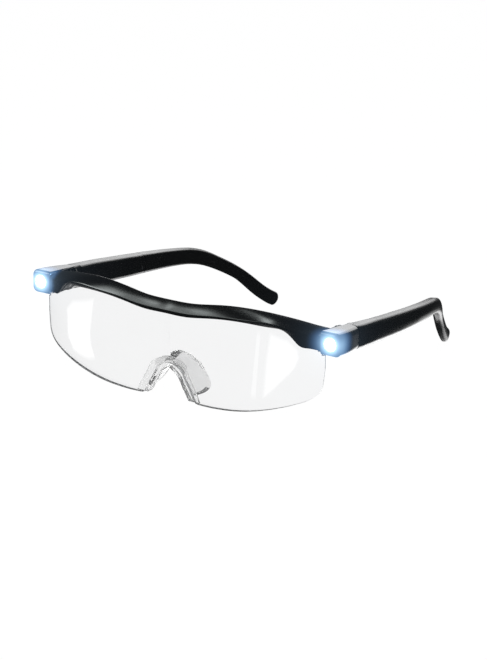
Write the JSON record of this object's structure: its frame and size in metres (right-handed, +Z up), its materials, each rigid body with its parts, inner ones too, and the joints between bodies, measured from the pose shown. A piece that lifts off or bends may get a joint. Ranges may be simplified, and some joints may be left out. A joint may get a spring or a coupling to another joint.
{
  "type": "lighted magnifier glasses",
  "caption": "Wrap-round magnifying spectacles with a clear shield lens, a black brow bar with a lamp at each end, a clear nose saddle and folding temples.",
  "frame": {"origin": "on the surface the glasses stand on, under the middle of the whole with its temples open", "axes": "+X to the wearer's left, +Y backwards from the lens to the ears, +Z up"},
  "size_m": [0.1562, 0.1394, 0.044],
  "materials": {
    "gloss_black": "polished moulded black plastic",
    "satin_black": "smooth satin black plastic",
    "clear_lens": "clear polished lens plastic",
    "clear_saddle": "clear soft moulded plastic",
    "clear_window": "clear polished plastic",
    "white_light": "lit cool white",
    "bright_metal": "bright plated",
    "board_green": "coated circuit board",
    "chip_black": "dull moulded",
    "cell_foil": "smooth foil",
    "steel": "plain steel",
    "cable_amber": "flat flexible cable",
    "lead_red": "thin insulated lead"
  },
  "bodies": {
    "front": {"brow_frame": "gloss_black", "pod_housing_left": "gloss_black", "pod_housing_right": "gloss_black", "shield_lens": "clear_lens", "nose_saddle": "clear_saddle", "lamp_window_left": "clear_window", "lamp_window_right": "clear_window", "led_left": "white_light", "led_right": "white_light", "reflector_left": "bright_metal", "reflector_right": "bright_metal", "lamp_board_left": "board_green", "lamp_board_right": "board_green", "lamp_resistors": "chip_black", "pod_screws": "steel", "hinge_pins": "steel", "brow_cable": "cable_amber", "hinge_leads_right": "lead_red"},
    "left_temple": {"temple_left": "satin_black"},
    "right_temple": {"arm_sleeve_right": "satin_black", "ear_piece_right": "satin_black", "ear_piece_screw_right": "steel", "main_board_right": "board_green", "switch_body_right": "chip_black", "charge_chip_right": "chip_black", "battery_cell_right": "cell_foil", "charging_socket_right": "steel", "arm_leads_right": "lead_red"},
    "power_button": {"switch_button_right": "satin_black"}
  },
  "joints": [
    {"name": "left_hinge", "type": "hinge", "parent": "front", "child": "left_temple", "pos_m": [0.06935, -0.04055, 0.0332], "axis": [0, 0, 1], "range_deg": [0, 82]},
    {"name": "right_hinge", "type": "hinge", "parent": "front", "child": "right_temple", "pos_m": [-0.06935, -0.04055, 0.0332], "axis": [0, 0, -1], "range_deg": [0, 72]},
    {"name": "power_press", "type": "slide", "parent": "right_temple", "child": "power_button", "axis": [0.9996, -0.0281, 0], "range_m": [0, 0.0006], "stiffness_N_per_m": 1500}
  ]
}
